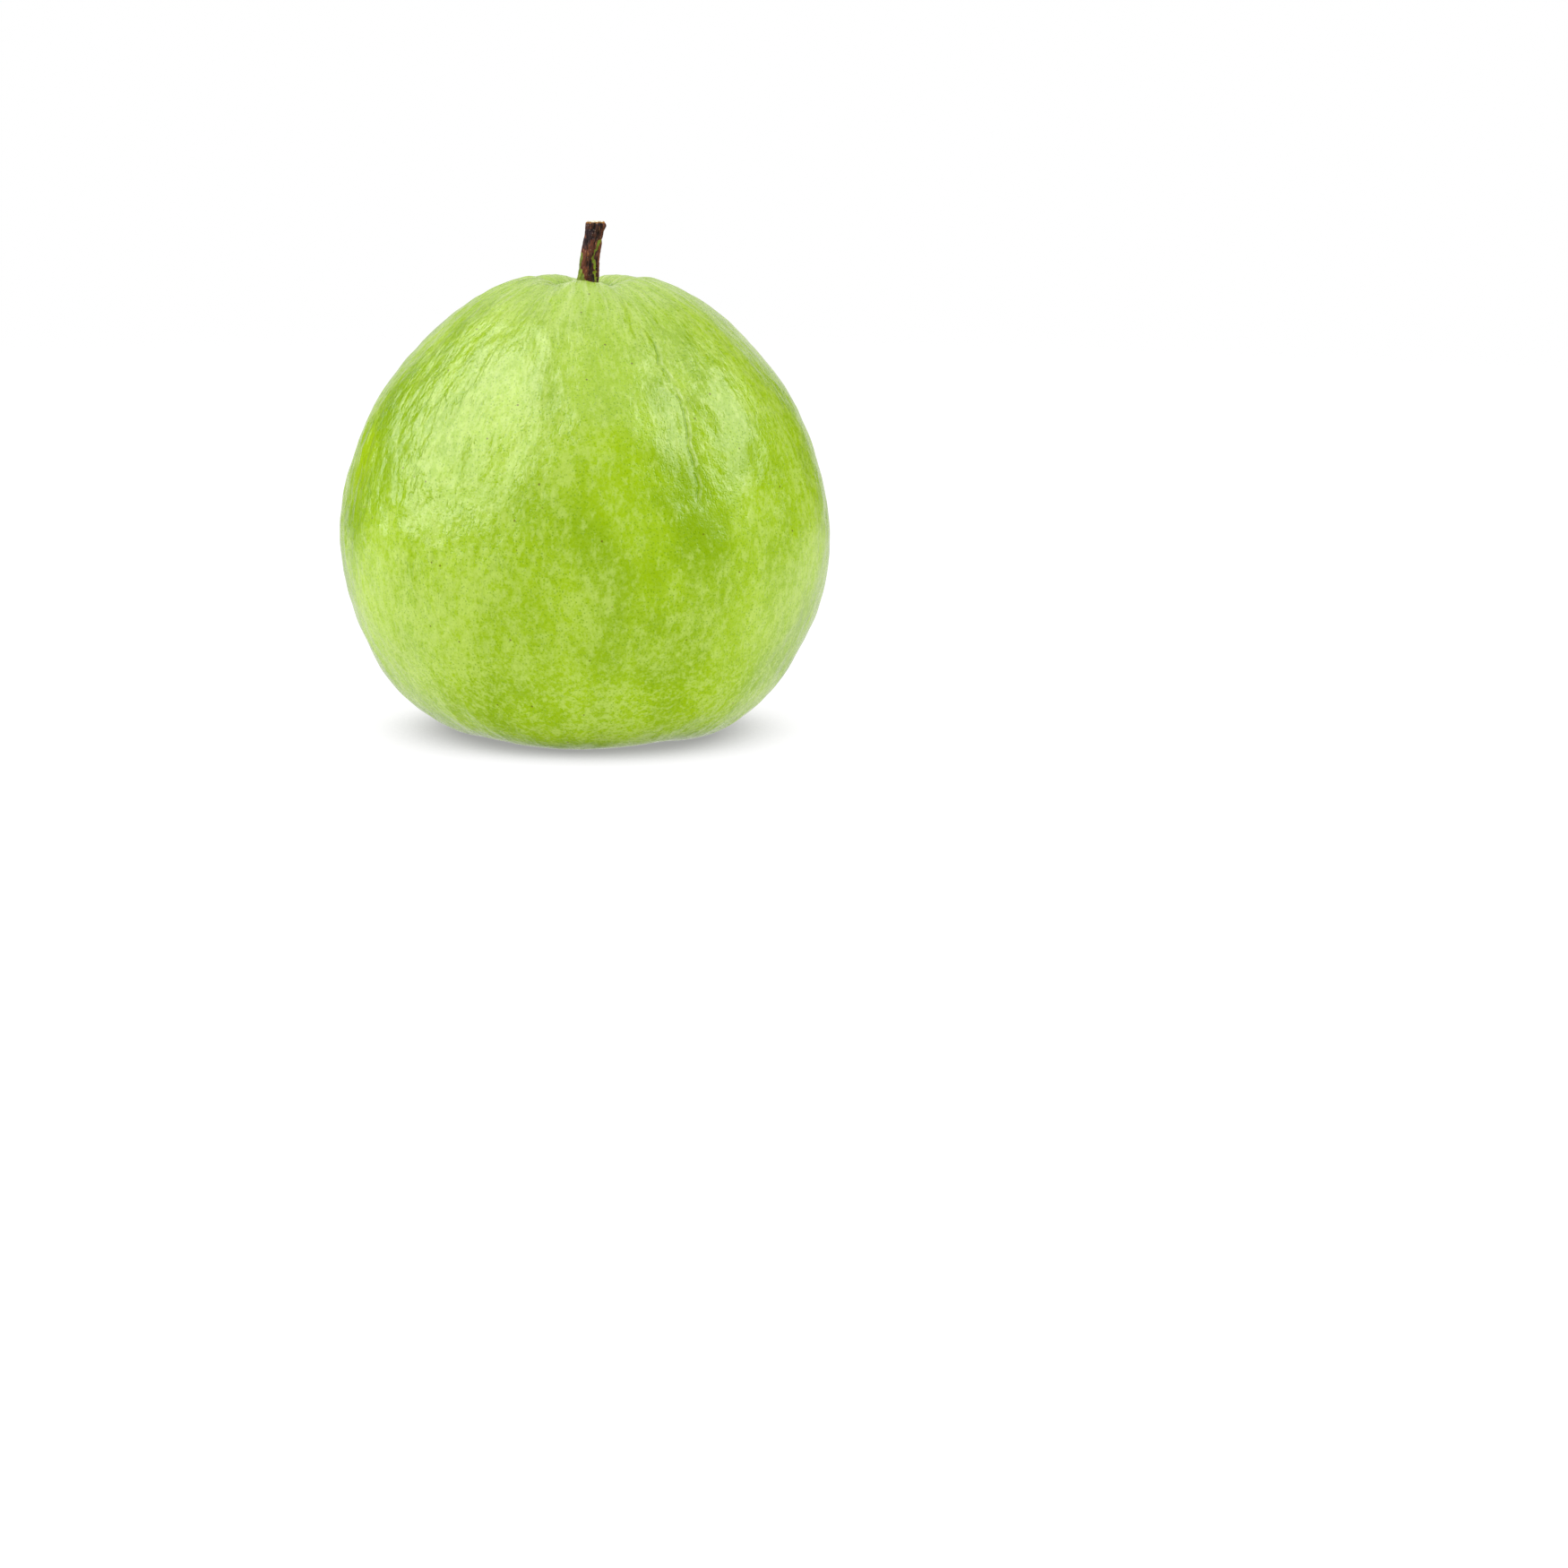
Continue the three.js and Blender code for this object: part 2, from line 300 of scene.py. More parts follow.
def path_angle(path, height):
    """The angle that a path has at a height."""
    if height >= path[0][0]:
        return path[0][1]
    for (upper, upper_angle), (lower, lower_angle) in zip(path, path[1:]):
        if height >= lower:
            share = (upper - height) / (upper - lower)
            return upper_angle + share * (lower_angle - upper_angle)
    return path[-1][1]


def beside_crease(point):
    """How far a place is to the right of the long furrow's crease, in millimetres."""
    wobble = 0.5 * noise.noise(Vector((0, 0, point.z / 3.1)))
    off = angle_of(point) - path_angle(CREASE_PATH, point.z)
    return math.radians(off) * math.hypot(point.x, point.y) + wobble


def beside_weight(point):
    return 0.5 + beside_crease(point) / CREASE_BAND


def crease_weight(point):
    """How deep the long furrow's crease is at a place, from 0 to 1."""
    sideways = beside_crease(point)
    if abs(sideways) > CREASE_BAND / 2:
        return 0
    reach = smooth_step(point.z, *CREASE_FOOT) * (1 - smooth_step(point.z, *CREASE_HEAD))
    wall = 0.55 if sideways < 0 else 1.1
    broken = 0.75 + 0.5 * noise.noise(Vector((7, 2, point.z / 5)))
    return reach * broken * math.exp(-((sideways / wall) ** 2))


def folded(point):
    """How much the skin is folded at a place: most on the left and beside the crease."""
    patch = 0.5 + 0.5 * noise.noise(skin_place(point) / 24 + Vector((3, 1, 7)))
    left = math.exp(-(((angle_of(point) + 62) / 42) ** 2)) * smooth_step(point.z, 20, 42)
    right = math.exp(-(((angle_of(point) - 32) / 16) ** 2)) * smooth_step(point.z, 36, 52)
    return 0.3 * patch + 0.7 * left + 0.3 * right


def light_and_shade_weight(point):
    """How pale the painted light and shade make the skin at a place, round 0.5."""
    angle = angle_of(point) + 7 * noise.noise(point / 13)
    height = point.z + 4 * noise.noise(point / 9 + Vector((5, 5, 5)))
    light_and_shade = 0.5
    for middle, level, half_width, half_height, change in PAINTED_LIGHT_AND_SHADE:
        off = (angle - middle) / half_width
        up = (height - level) / half_height
        light_and_shade += change * math.exp(-(off**2) - up**2)
    return light_and_shade


def wrinkle_weight(point):
    """The skin's small folds, which run along the fruit and gather in patches."""
    place = skin_place(point)
    strength = min(folded(point), 1)
    stretched = Vector((place.x / 2.4, place.y / 2.4, place.z / 6))
    warp = noise.noise_vector(place / 7) * 0.8
    fold = noise.noise(stretched + warp) + 0.45 * noise.noise(2.1 * stretched + warp)
    return (0.5 + 0.5 * max(-1, min(1, 1.25 * fold)) * strength) * foot_clear(point)


def swell_weight(point):
    """Soft unevenness of the skin, in hills 6 to 9 mm apart."""
    place = skin_place(point)
    hills = noise.noise(place / 6.5 + Vector((11, 5, 2)))
    hills += 0.6 * noise.noise(place / 3.6 + Vector((1, 8, 4)))
    return (0.5 + 0.45 * max(-1, min(1, hills))) * foot_clear(point)


def foot_clear(point):
    """0 on the flat spots that the fruit stands on, 1 away from them."""
    return smooth_step(point.z, 0.05, 1.6)


def build_fruit():
    """The fruit's skin: an even mesh over the CAD fruit, with its relief pressed in."""
    fruit = copy_of_node("fruit", "guava_skin")
    finish_modifier(fruit, "SUBSURF", levels=2, render_levels=2)
    finish_modifier(fruit, "REMESH", mode="VOXEL", voxel_size=SKIN_VOXEL * MM)
    finish_modifier(fruit, "SMOOTH", factor=0.5, iterations=3)
    layers = {
        "clear": foot_clear,
        "swell": swell_weight,
        "wrinkle": wrinkle_weight,
        "crease": crease_weight,
        "beside_crease": beside_weight,
        "folded": folded,
        "light_and_shade": light_and_shade_weight,
    }
    paint_layers(fruit, layers, ("crease", "beside_crease", "folded", "light_and_shade"))
    for layer, (depth, unmoved) in SKIN_RELIEFS.items():
        press(fruit, layer, depth, unmoved)
    shade_smooth(fruit)
    return fruit


def from_stem_axis(point):
    """A place as seen from the leaning middle of the stem."""
    lean = math.tan(math.radians(STEM_LEAN)) * max(0, point.z - STEM_FOOT)
    return Vector((point.x - lean, point.y, point.z))


def bark_weight(point):
    """Ridges and cracks that run up the bark, and small scales on them."""
    place = from_stem_axis(point)
    out = math.hypot(place.x, place.y)
    ridges = noise.noise(Vector((place.x / 0.55, place.y / 0.55, place.z / 3.2)))
    scales = noise.noise(Vector((place.x / 0.28, place.y / 0.28, place.z / 0.8 + 9)))
    rough = max(-1, min(1, 1.3 * ridges + 0.9 * scales))
    return 0.5 + 0.5 * rough * smooth_step(out, 1.2, 1.7)


def ragged_weight(point):
    """The torn upper edge of the bark: low where the bark broke off."""
    place = from_stem_axis(point)
    at_edge = smooth_step(place.z, STEM_TOP - 0.9, STEM_TOP - 0.1)
    edge = smooth_step(math.hypot(place.x, place.y), 1.1, 1.6)
    torn = 0.5 + 0.5 * noise.noise(Vector((place.x / 0.5, place.y / 0.5, 4)))
    return at_edge * (edge * torn + (1 - edge) * 0.35)


def knot_weight(point):
    """The bud scar on the right, just under the cut."""
    place = from_stem_axis(point)
    off = (angle_of(place) - 90) / 38
    up = (place.z - STEM_TOP + 1.2) / 0.6
    return math.exp(-(off**2) - up**2)


def green_weight(point):
    """Where the bark is still green: a strip up the right, a patch on the left and the
    lower part of the back."""
    place = from_stem_axis(point)
    wander = 14 * noise.noise(Vector((place.x / 0.6, place.y / 0.6, place.z / 0.7)))
    angle = angle_of(place) + wander
    strip = abs(angle - path_angle(GREEN_STRIP, place.z)) / 10
    on_strip = (1 - smooth_step(strip, 0.6, 1.2)) * (1 - smooth_step(place.z, *GREEN_STRIP_END))
    in_patch = 1 - smooth_step(angle - path_angle(GREEN_EDGE, place.z), -6, 6)
    in_patch *= smooth_step(angle, -170, -150) * (1 - smooth_step(place.z, *GREEN_EDGE_END))
    behind = smooth_step(abs(angle), 90, 150)
    behind *= 1 - smooth_step(place.z + wander / 9, *GREEN_BACK_END)
    return max(on_strip, in_patch, behind)


def root_weight(point):
    """The stem's root, which the skin has grown up against."""
    below = smooth_step(point.z, STEM_FOOT - 1.9, STEM_FOOT - 1.1)
    return below * (1 - smooth_step(point.z, STEM_FOOT - 0.4, STEM_FOOT + 1))


def cut_weight(point):
    """The cut face at the stem's top."""
    place = from_stem_axis(point)
    inside = 1 - smooth_step(math.hypot(place.x, place.y), 1.45, 1.75)
    return inside * smooth_step(place.z, STEM_TOP - 0.6, STEM_TOP - 0.3)


def build_stem():
    """The stem: ridged, scaly bark with a knot, torn at its cut upper edge."""
    stem = copy_of_node("stem", "guava_stem")
    finish_modifier(stem, "SUBSURF", levels=1, render_levels=1)
    finish_modifier(stem, "REMESH", mode="VOXEL", voxel_size=STEM_VOXEL * MM)
    finish_modifier(stem, "SMOOTH", factor=0.5, iterations=3)
    layers = {
        "bark": bark_weight,
        "ragged": ragged_weight,
        "knot": knot_weight,
        "green": green_weight,
        "cut": cut_weight,
        "root": root_weight,
    }
    paint_layers(stem, layers, ("bark", "ragged", "green", "cut"))
    for layer, depth in STEM_RELIEFS.items():
        press(stem, layer, depth)
    shade_smooth(stem)
    return stem


def off_sepal_middle(point):
    """How far a place is from the middle line of the nearest sepal, in millimetres."""
    off = min(abs((angle_of(point) - angle + 180) % 360 - 180) for angle in SEPAL_ANGLES)
    return math.hypot(point.x, point.y) * math.sin(math.radians(min(off, 90)))


def middle_weight(point):
    return math.exp(-((off_sepal_middle(point) / 1.1) ** 2))


def shrunk_weight(point):
    """Wrinkles that run along the dried sepals."""
    turn = math.radians(angle_of(point))
    out = math.hypot(point.x, point.y)
    place = Vector((7 * math.sin(turn), 7 * math.cos(turn), (out - point.z) / 4))
    return 0.5 + 0.5 * noise.noise(place) + 0.35 * noise.noise(place * 2.3)


def build_calyx():
    """The dried calyx, with shrunken, wrinkled sepals."""
    calyx = copy_of_node("calyx", "guava_calyx")
    finish_modifier(calyx, "REMESH", mode="VOXEL", voxel_size=CALYX_VOXEL * MM)
    finish_modifier(calyx, "SMOOTH", factor=0.5, iterations=9)
    paint_layers(calyx, {"shrunk": shrunk_weight, "middle": middle_weight}, ("shrunk", "middle"))
    lift = CALYX_LIFT * MM
    finish_modifier(calyx, "DISPLACE", vertex_group="shrunk", direction="Z", strength=lift)
    shade_smooth(calyx)
    return calyx


class Wire:
    """A socket of a material's nodes. Arithmetic on wires adds Math nodes."""

    def __init__(self, tree, socket=None):
        self.tree = tree
        self.socket = socket

    def node(self, kind, settings=None, inputs=None, output=0):
        """Adds a node, with its settings and then its inputs, and gives one output."""
        added = self.tree.nodes.new(kind)
        for name, value in (settings or {}).items():
            setattr(added, name, value)
        for name, value in (inputs or {}).items():
            if isinstance(value, Wire):
                self.tree.links.new(value.socket, added.inputs[name])
            else:
                added.inputs[name].default_value = value
        return Wire(self.tree, added.outputs[output])

    def maths(self, operation, *values):
        """A Math node's value, from wires or numbers."""
        inputs = dict(enumerate(values))
        return self.node("ShaderNodeMath", {"operation": operation}, inputs)

    def parts(self):
        """The three parts of this wire's vector."""
        return [self.node("ShaderNodeSeparateXYZ", inputs={0: self}, output=i) for i in range(3)]

    def stretched(self, *factors):
        """This wire's vector with its three parts multiplied."""
        settings = {"operation": "MULTIPLY"}
        return self.node("ShaderNodeVectorMath", settings, {0: self, 1: factors})

    def clouds(self, size, detail=3, roughness=0.55):
        """Soft noise at this wire's place, with clouds of about this size."""
        inputs = {"Vector": self, "Scale": 1 / size, "Detail": detail, "Roughness": roughness}
        return self.node("ShaderNodeTexNoise", inputs=inputs)

    def cells(self, size, randomness):
        """How far this wire's place is from the middle of the nearest of scattered cells."""
        inputs = {"Vector": self, "Scale": 1 / size, "Randomness": randomness}
        return self.node("ShaderNodeTexVoronoi", inputs=inputs)

    def mask(self, layer):
        """The weights that a piece was painted with in a layer."""
        settings = {"attribute_name": layer + "_mask"}
        return self.node("ShaderNodeAttribute", settings, output=2)

    def as_bump(self):
        """The normal of a surface that this wire raises, in millimetres."""
        inputs = {"Strength": 1, "Distance": MM, "Height": self}
        return self.node("ShaderNodeBump", inputs=inputs)

    def __add__(self, other):
        return self.maths("ADD", self, other)

    def __sub__(self, other):
        return self.maths("SUBTRACT", self, other)

    def __rsub__(self, other):
        return self.maths("SUBTRACT", other, self)

    def __mul__(self, other):
        return self.maths("MULTIPLY", self, other)

    def __truediv__(self, other):
        return self.maths("DIVIDE", self, other)

    __radd__ = __add__
    __rmul__ = __mul__

    def step(self, start, end):
        """0 below start and 1 above end, or the other way round, with a soft change."""
        settings = {"interpolation_type": "SMOOTHSTEP"}
        inputs = {"Value": self, "From Min": start, "From Max": end}
        return self.node("ShaderNodeMapRange", settings, inputs)

    def blend(self, first, second):
        """The first wire's value where this wire is 0, the second's where it is 1."""
        return first + self * (second - first)

    def between(self, first, second):
        """The first colour where this wire is 0, the second where it is 1."""
        settings = {"data_type": "RGBA", "clamp_factor": True}
        return self.node("ShaderNodeMix", settings, {0: self, 6: first, 7: second}, 2)


def new_material(name):
    """An empty material, as its first wire, with its shader and its output."""
    material = bpy.data.materials.new(name)
    material.use_nodes = True
    tree = material.node_tree
    tree.nodes.clear()
    shader = tree.nodes.new("ShaderNodeBsdfPrincipled")
    output = tree.nodes.new("ShaderNodeOutputMaterial")
    tree.links.new(shader.outputs[0], output.inputs["Surface"])
    return material, Wire(tree), shader


def plug(shader, **sockets):
    """Sets a shader's sockets from wires or values. Words are joined with underscores."""
    for name, value in sockets.items():
        socket = shader.inputs[name.replace("_", " ")]
        if isinstance(value, Wire):
            value.tree.links.new(value.socket, socket)
        else:
            socket.default_value = value


def millimetres(base):
    """Object coordinates in millimetres."""
    coordinates = base.node("ShaderNodeTexCoord", output=3)
    return coordinates.stretched(1 / MM, 1 / MM, 1 / MM)


def distance_out(x, y):
    """How far a place is from the upright axis. It is never quite 0, as it divides."""
    return x.maths("SQRT", x * x + y * y) + 0.001


def layered(color, layers):
    """A colour with others laid over it, each by its own share."""
    for share, over in layers:
        color = share.between(color, over)
    return color


def skin_places(base):
    """Where a point of the skin is: its place in millimetres, the same laid out along the
    skin from the stem, and how far it belongs to the skin's regions."""
    place = millimetres(base)
    x, y, z = place.parts()
    out = distance_out(x, y)
    along = (math.pi / 2 - base.maths("ARCTAN2", z - CORE_HEIGHT, out)) * BELLY_RADIUS
    on_drum = {"X": x / out * BELLY_RADIUS, "Y": y / out * BELLY_RADIUS, "Z": along}
    skin = base.node("ShaderNodeCombineXYZ", inputs=on_drum)
    return SimpleNamespace(
        place=place,
        skin=skin,
        drawn_out=skin.stretched(1, 1, 0.7),
        near_stem=along.step(*NEAR_STEM_ALONG),
        in_hollow=out.step(*STEM_HOLLOW_OUT) * z.step(*STEM_HOLLOW_UP),
        under=z.step(*UNDERSIDE_UP),
        scar=(out + place.clouds(1.5, 4) * 3).step(*SCAR_OUT) * z.step(*SCAR_UP),
    )


def skin_marks(base, on):
    """The marks that show both in the skin's colour and in its relief."""
    across = (base.mask("beside_crease") - 0.5) * CREASE_BAND + on.place.clouds(1.6, 3) - 0.5
    open_here = base.mask("crease").step(0.08, 0.4) * on.place.clouds(2.4, 2).step(0.34, 0.56)
    folded = base.mask("folded")
    along_folds = on.skin.stretched(1, 1, 0.36).clouds(2.6, 3, 0.6) - 0.5
    return SimpleNamespace(
        net=on.place.clouds(0.75, 3, 0.7).step(0.42, 0.62),
        dots=on.place.cells(0.62, 0.8).step(0.36, 0.12),
        # A dark line down the crease: painted shade in its groove
        crack=base.maths("ABSOLUTE", across).step(0.36, 0.06) * open_here,
        # A pale line along the crease's lip: a painted highlight on its raised edge
        lip=base.maths("ABSOLUTE", across - 0.8).step(0.5, 0) * open_here,
        folded=folded,
        strokes=base.maths("ABSOLUTE", along_folds).step(0, 0.05),
        gathered=on.drawn_out.clouds(6, 2).step(0.5, 0.62) * folded,
    )


def skin_color(base, on, marks):
    """Deep green under a paler veil that breaks up into mottling and a fine net. The veil
    also carries the painted light and shade. There is painted shade in the stem's hollow,
    the crease and the folds, and a painted highlight along the crease's lip.
    """
    # The painted light and shade, round 0
    light_and_shade = base.mask("light_and_shade") - 0.5
    deep = on.drawn_out.clouds(15, 2).step(0.36, 0.64).between(SKIN.deep, SKIN.fresh)
    # Painted light: where the painted shade is deepest, in the band on the left, the green is
    # lightened to a brighter yellow-green
    deep = (light_and_shade.step(-0.3, -0.5) * 0.6).between(deep, SKIN.painted_light)
    patches = on.under.blend(on.drawn_out.clouds(11, 4, 0.6), on.place.clouds(11, 4, 0.6))
    # The veil is paler near the stem and carries the painted light and shade
    veil_and_painted_light = patches.step(0.36, 0.66) * 0.34 + on.near_stem * 0.42 + 0.14 + light_and_shade
    grain = on.under.blend(on.drawn_out.clouds(1.5, 4, 0.7), on.place.clouds(1.5, 4, 0.7))
    mottled = (grain + veil_and_painted_light * 0.26).step(0.51, 0.71)
    streaks = on.skin.stretched(1, 1, 0.34).clouds(3.2, 5, 0.66).step(0.44, 0.64)
    dotted = on.place.clouds(7, 2).step(0.3, 0.7) * 0.3 + 0.3
    specks = on.place.cells(4.6, 1).step(0.06, 0.035)
    layers = [
        (veil_and_painted_light * 0.8, SKIN.veil_and_painted_light),
        (mottled * 0.44, SKIN.mottle),
        (marks.net * (veil_and_painted_light * 0.4 + 0.12), SKIN.net),
        (streaks * on.near_stem * 0.4, SKIN.streak),
        ((1 - streaks) * on.near_stem * 0.25, SKIN.between_streaks),
        # painted shade in the stem's hollow
        (on.in_hollow * 0.7, SKIN.hollow_shade),
        (marks.dots * dotted, SKIN.oil_dot),
        (specks * 0.7, SKIN.speck),
        # painted shade down the crease
        (marks.crack * 0.45, SKIN.crack),
        # painted highlight along the crease's lip
        (marks.lip * 0.3, SKIN.lip),
        (on.scar * 0.9, SKIN.scar),
        # painted shade in the grooves of the gathered folds
        ((1 - marks.strokes) * marks.gathered * 0.45, SKIN.fold),
    ]
    return layered(deep, layers)


def skin_bumps(on, marks):
    """The skin's finest relief, in millimetres."""
    hills = on.drawn_out.clouds(4.5, 3, 0.5) * (marks.folded * 0.8 + 0.24)
    hammered = on.drawn_out.clouds(1.9, 3, 0.55) * (marks.folded * 0.17 + 0.04)
    strokes = marks.strokes * marks.gathered * 0.12
    pores = marks.net * 0.014 - marks.dots * 0.02
    crease = marks.lip * 0.05 - marks.crack * 0.1
    return hills + hammered + strokes + pores + crease


def skin_material():
    """Waxy yellow-green skin, glossier where it is smooth and dry round the calyx."""
    material, base, shader = new_material("waxy_skin")
    on = skin_places(base)
    marks = skin_marks(base, on)
    dull = on.drawn_out.clouds(5).step(0.2, 0.8) * 0.1 + on.near_stem * 0.14 + on.scar * 0.4
    plug(
        shader,
        Base_Color=skin_color(base, on, marks),
        Roughness=dull + 0.1,
        IOR=1.65,
        Normal=skin_bumps(on, marks).as_bump(),
        Subsurface_Weight=0.12,
        Subsurface_Radius=(1, 0.9, 0.3),
        Subsurface_Scale=2.5 * MM,
    )
    return material


def bark_material():
    """Ridged brown bark, dark in its cracks, with rusty flecks and green, living patches,
    and the cream wood of the cut."""
    material, base, shader = new_material("brown_bark")
    place = millimetres(base)
    bark, green, cut, ragged = (base.mask(layer) for layer in ("bark", "green", "cut", "ragged"))
    streaky = place.stretched(1, 1, 0.22)
    brown = streaky.clouds(1.1, 4, 0.6).step(0.38, 0.62).between(BARK.dark, BARK.light)
    living = streaky.clouds(0.9, 4, 0.6).step(0.35, 0.65).between(BARK.green, BARK.fresh_green)
    patchy = green + streaky.clouds(0.5, 4, 0.7) * 0.9 - 0.45
    wood = place.clouds(0.5, 3).step(0.4, 0.7).between(BARK.wood, BARK.old_wood)
    layers = [
        (streaky.clouds(0.5, 3, 0.7).step(0.56, 0.7) * 0.8, BARK.rust),
        (place.clouds(2.4, 3).step(0.54, 0.66), BARK.purple),
        (bark.step(0.55, 0.85) * 0.85, BARK.crack),
        (place.clouds(0.35, 2).step(0.64, 0.7) * 0.45, BARK.scale),
        (patchy.step(0.1, 0.4) * patchy.step(0.85, 0.5) * 0.5, BARK.rusty_edge),
        (patchy.step(0.3, 0.8) * 0.92, living),
        (ragged.step(0.12, 0.5) * 0.75, BARK.torn_edge),
        (cut.step(0.25, 0.6), wood),
    ]
    bumps = streaky.clouds(0.45, 4, 0.7) * 0.16 * (1 - cut) + place.clouds(0.25, 2) * 0.03
    plug(
        shader,
        Base_Color=layered(brown, layers),
        Roughness=0.82 - green * 0.25 - streaky.clouds(0.8).step(0.4, 0.6) * 0.15,
        IOR=1.45,
        Normal=bumps.as_bump(),
    )
    return material


def sepal_material():
    """Dry, leathery sepals: brown, rusty towards their edges and greyer along the middle,
    on an olive collar round the flower's dry scar."""
    material, base, shader = new_material("dried_sepal")
    place = millimetres(base)
    middle, shrunk = base.mask("middle"), base.mask("shrunk")
    x, y, z = place.parts()
    out = distance_out(x, y)
    collar = z.step(5.2, 6.2)
    brown = place.clouds(1.6, 4, 0.6).step(0.36, 0.64).between(SEPAL.dark, SEPAL.light)
    layers = [
        ((1 - middle) * place.clouds(2.2).step(0.35, 0.65) * 0.7, SEPAL.rust),
        (middle * place.clouds(1.2, 3).step(0.4, 0.6) * 0.5, SEPAL.middle),
        (shrunk.step(0.5, 0.75) * 0.55, SEPAL.wrinkle),
        (collar * out.step(3.2, 4) * 0.65, SEPAL.collar),
        (collar * out.step(4, 3.2) * 0.7, SEPAL.scar),
    ]
    bumps = place.clouds(0.9, 4, 0.65) * 0.2 + shrunk * 0.25 + place.clouds(0.3, 2) * 0.05
    plug(
        shader,
        Base_Color=layered(brown, layers),
        Roughness=0.62 + place.clouds(1).step(0.4, 0.6) * 0.2,
        IOR=1.45,
        Normal=bumps.as_bump(),
    )
    return material


def dress(piece, node, material):
    """Puts a finished piece in its CAD node's place."""
    piece.data.materials.append(material)
    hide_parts(node)
    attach(piece, "root")


def add_camera():
    """A long lens at the photograph's angle, turned so that the fruit stands where the
    photograph has it."""
    bpy.ops.object.camera_add()
    camera = bpy.context.object
    elevation = math.radians(CAMERA_ELEVATION)
    back = Vector((0, -math.cos(elevation), math.sin(elevation))) * CAMERA_DISTANCE
    target = Vector((0, 0, CAMERA_TARGET_HEIGHT))
    camera.location = (target + back) * MM
    focal_px = PX_PER_MM * CAMERA_DISTANCE
    camera.data.lens = focal_px / PHOTO_SIDE_PX * SENSOR_WIDTH
    camera.data.sensor_width = SENSOR_WIDTH
    facing = (-back).to_track_quat("-Z", "Y")
    foot_below_target = math.atan2(
        CAMERA_TARGET_HEIGHT * math.cos(elevation),
        CAMERA_DISTANCE + CAMERA_TARGET_HEIGHT * math.sin(elevation),
    )
    middle = PHOTO_SIDE_PX / 2
    turn_right = math.atan2(middle - FRUIT_AXIS_PX, focal_px)
    turn_down = foot_below_target + math.atan2(middle - FRUIT_FOOT_PX, focal_px)
    aside = Euler((0, -turn_right, 0)).to_quaternion()
    down = Euler((-turn_down, 0, 0)).to_quaternion()
    camera.rotation_mode = "QUATERNION"
    camera.rotation_quaternion = facing @ aside @ down
    bpy.context.scene.camera = camera


def add_panel(azimuth, elevation, distance, size, radiance, shows_in_gloss):
    """A large oval light that faces the fruit, its azimuth in degrees from the front. It
    is either a softbox that shows in the skin's gloss, or a fill that only lights it."""
    turn, rise = math.radians(azimuth), math.radians(elevation)
    away = Vector(
        (math.sin(turn) * math.cos(rise), -math.cos(turn) * math.cos(rise), math.sin(rise))
    )
    bpy.ops.object.light_add(type="AREA")
    light = bpy.context.object
    light.location = (away * distance + Vector((0, 0, CORE_HEIGHT))) * MM
    light.rotation_mode = "QUATERNION"
    light.rotation_quaternion = (-away).to_track_quat("-Z", "Y")
    light.data.shape = "ELLIPSE"
    light.data.size, light.data.size_y = size[0] * MM, size[1] * MM
    area = math.pi / 4 * light.data.size * light.data.size_y
    light.data.energy = radiance * math.pi * area
    light.visible_camera = False
    light.visible_glossy = shows_in_gloss
    light.visible_diffuse = not shows_in_gloss


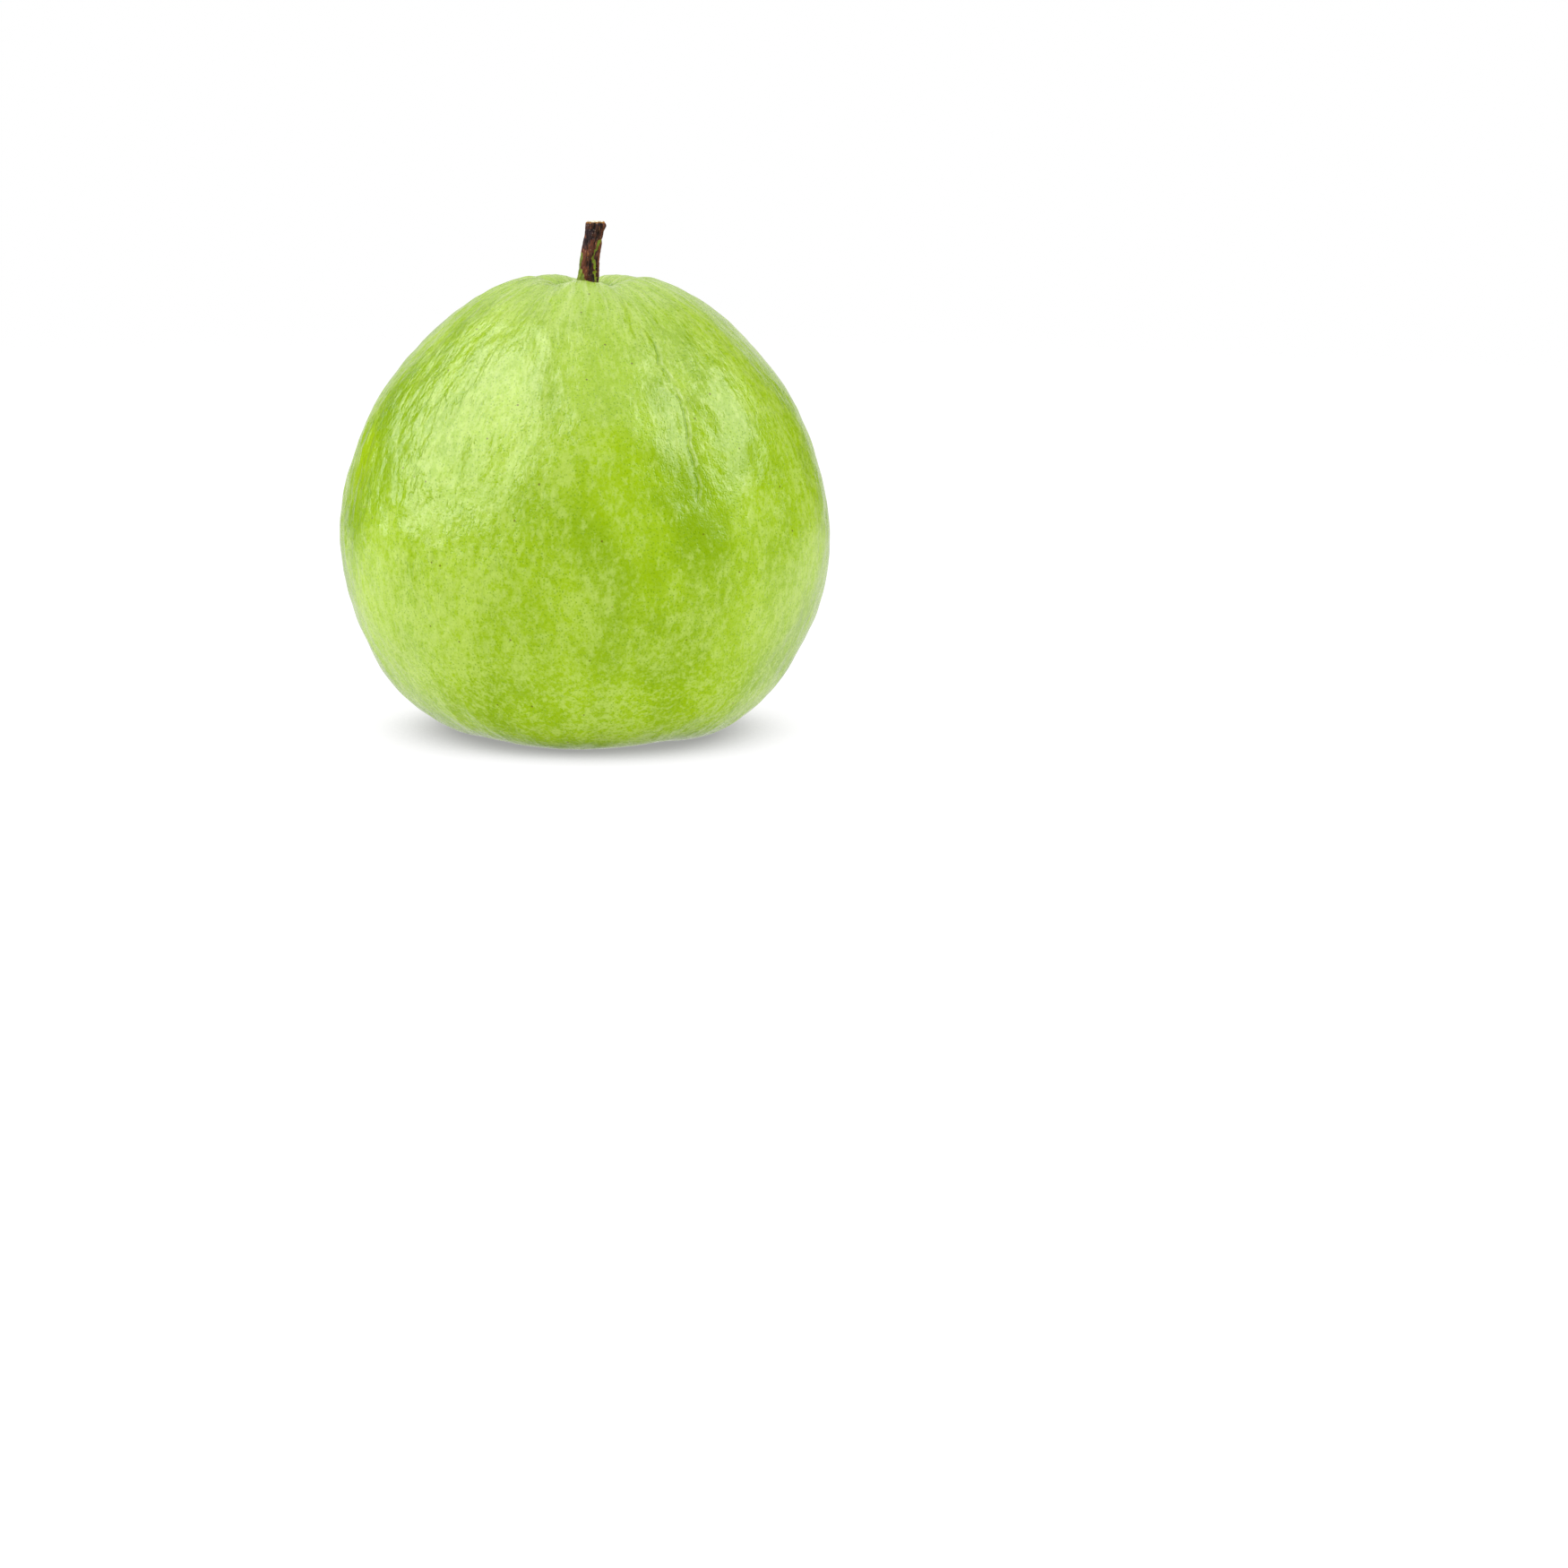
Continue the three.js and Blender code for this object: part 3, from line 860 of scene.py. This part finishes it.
def add_floor():
    """A pale, glowing disc that fades into the white room at its edge. Right beside the fruit,
    where it sees less of the sky, it glows less: a painted shadow."""
    bpy.ops.mesh.primitive_circle_add(vertices=96, radius=FLOOR_RADIUS * MM, fill_type="NGON")
    floor = bpy.context.object
    floor.name = "floor"
    material, base, shader = new_material("pale_floor")
    away = base.node("ShaderNodeVectorMath", {"operation": "LENGTH"}, {0: millimetres(base)}, 1)
    reach = FLOOR_SHADOW_REACH * MM
    open_sky = base.node("ShaderNodeAmbientOcclusion", {"samples": 16}, {"Distance": reach}, 1)
    # Painted shadow: the glow dims where the floor sees less of the sky
    lit = open_sky.step(0, 0.58) * FLOOR_SHADOW + (1 - FLOOR_SHADOW)
    plug(
        shader,
        Base_Color=FLOOR_COLOR,
        Roughness=0.9,
        Specular_IOR_Level=0,
        Emission_Color=(1, 1, 1, 1),
        Emission_Strength=lit * FLOOR_GLOW,
        Alpha=away.step(FLOOR_RADIUS, 0.6 * FLOOR_RADIUS),
    )
    floor.data.materials.append(material)
    floor.visible_glossy = False


def add_room():
    """A room that is white behind the fruit and dim in front of it, as its gloss shows,
    even in the light that it gives, and plain white as a background."""
    world = bpy.data.worlds.new("room")
    bpy.context.scene.world = world
    world.use_nodes = True
    tree = world.node_tree
    tree.nodes.clear()
    base = Wire(tree)
    way = base.node("ShaderNodeTexCoord")
    x, y, z = way.parts()
    backwards = y / distance_out(x, y)
    overhead = z.step(0.68, 0.92) * ROOM_OVERHEAD
    behind = backwards.step(0.86, 0.98) * z.step(-0.6, -0.3) * ROOM_BEHIND
    below = z.step(0, -0.2) * z.step(-0.85, -0.45) * backwards.step(-0.5, 0.2) * ROOM_BELOW
    in_gloss = base.maths("MAXIMUM", base.maths("MAXIMUM", overhead, behind), below)
    in_gloss = in_gloss + ROOM_IN_FRONT
    is_camera = base.node("ShaderNodeLightPath", output=0)
    is_glossy = base.node("ShaderNodeLightPath", output=3)
    light = is_glossy * in_gloss + (1 - is_glossy) * ROOM_LIGHT
    strength = is_camera + (1 - is_camera) * light
    background = base.node(
        "ShaderNodeBackground", inputs={"Color": (1, 1, 1, 1), "Strength": strength}
    )
    output = tree.nodes.new("ShaderNodeOutputWorld")
    tree.links.new(background.socket, output.inputs["Surface"])


def add_studio():
    add_floor()
    add_room()
    for panel in PANELS:
        add_panel(*panel)


noise.seed_set(NOISE_SEED)
add_camera()
dress(build_fruit(), "fruit", skin_material())
dress(build_stem(), "stem", bark_material())
dress(build_calyx(), "calyx", sepal_material())
add_studio()
bpy.context.scene.view_settings.view_transform = "Standard"
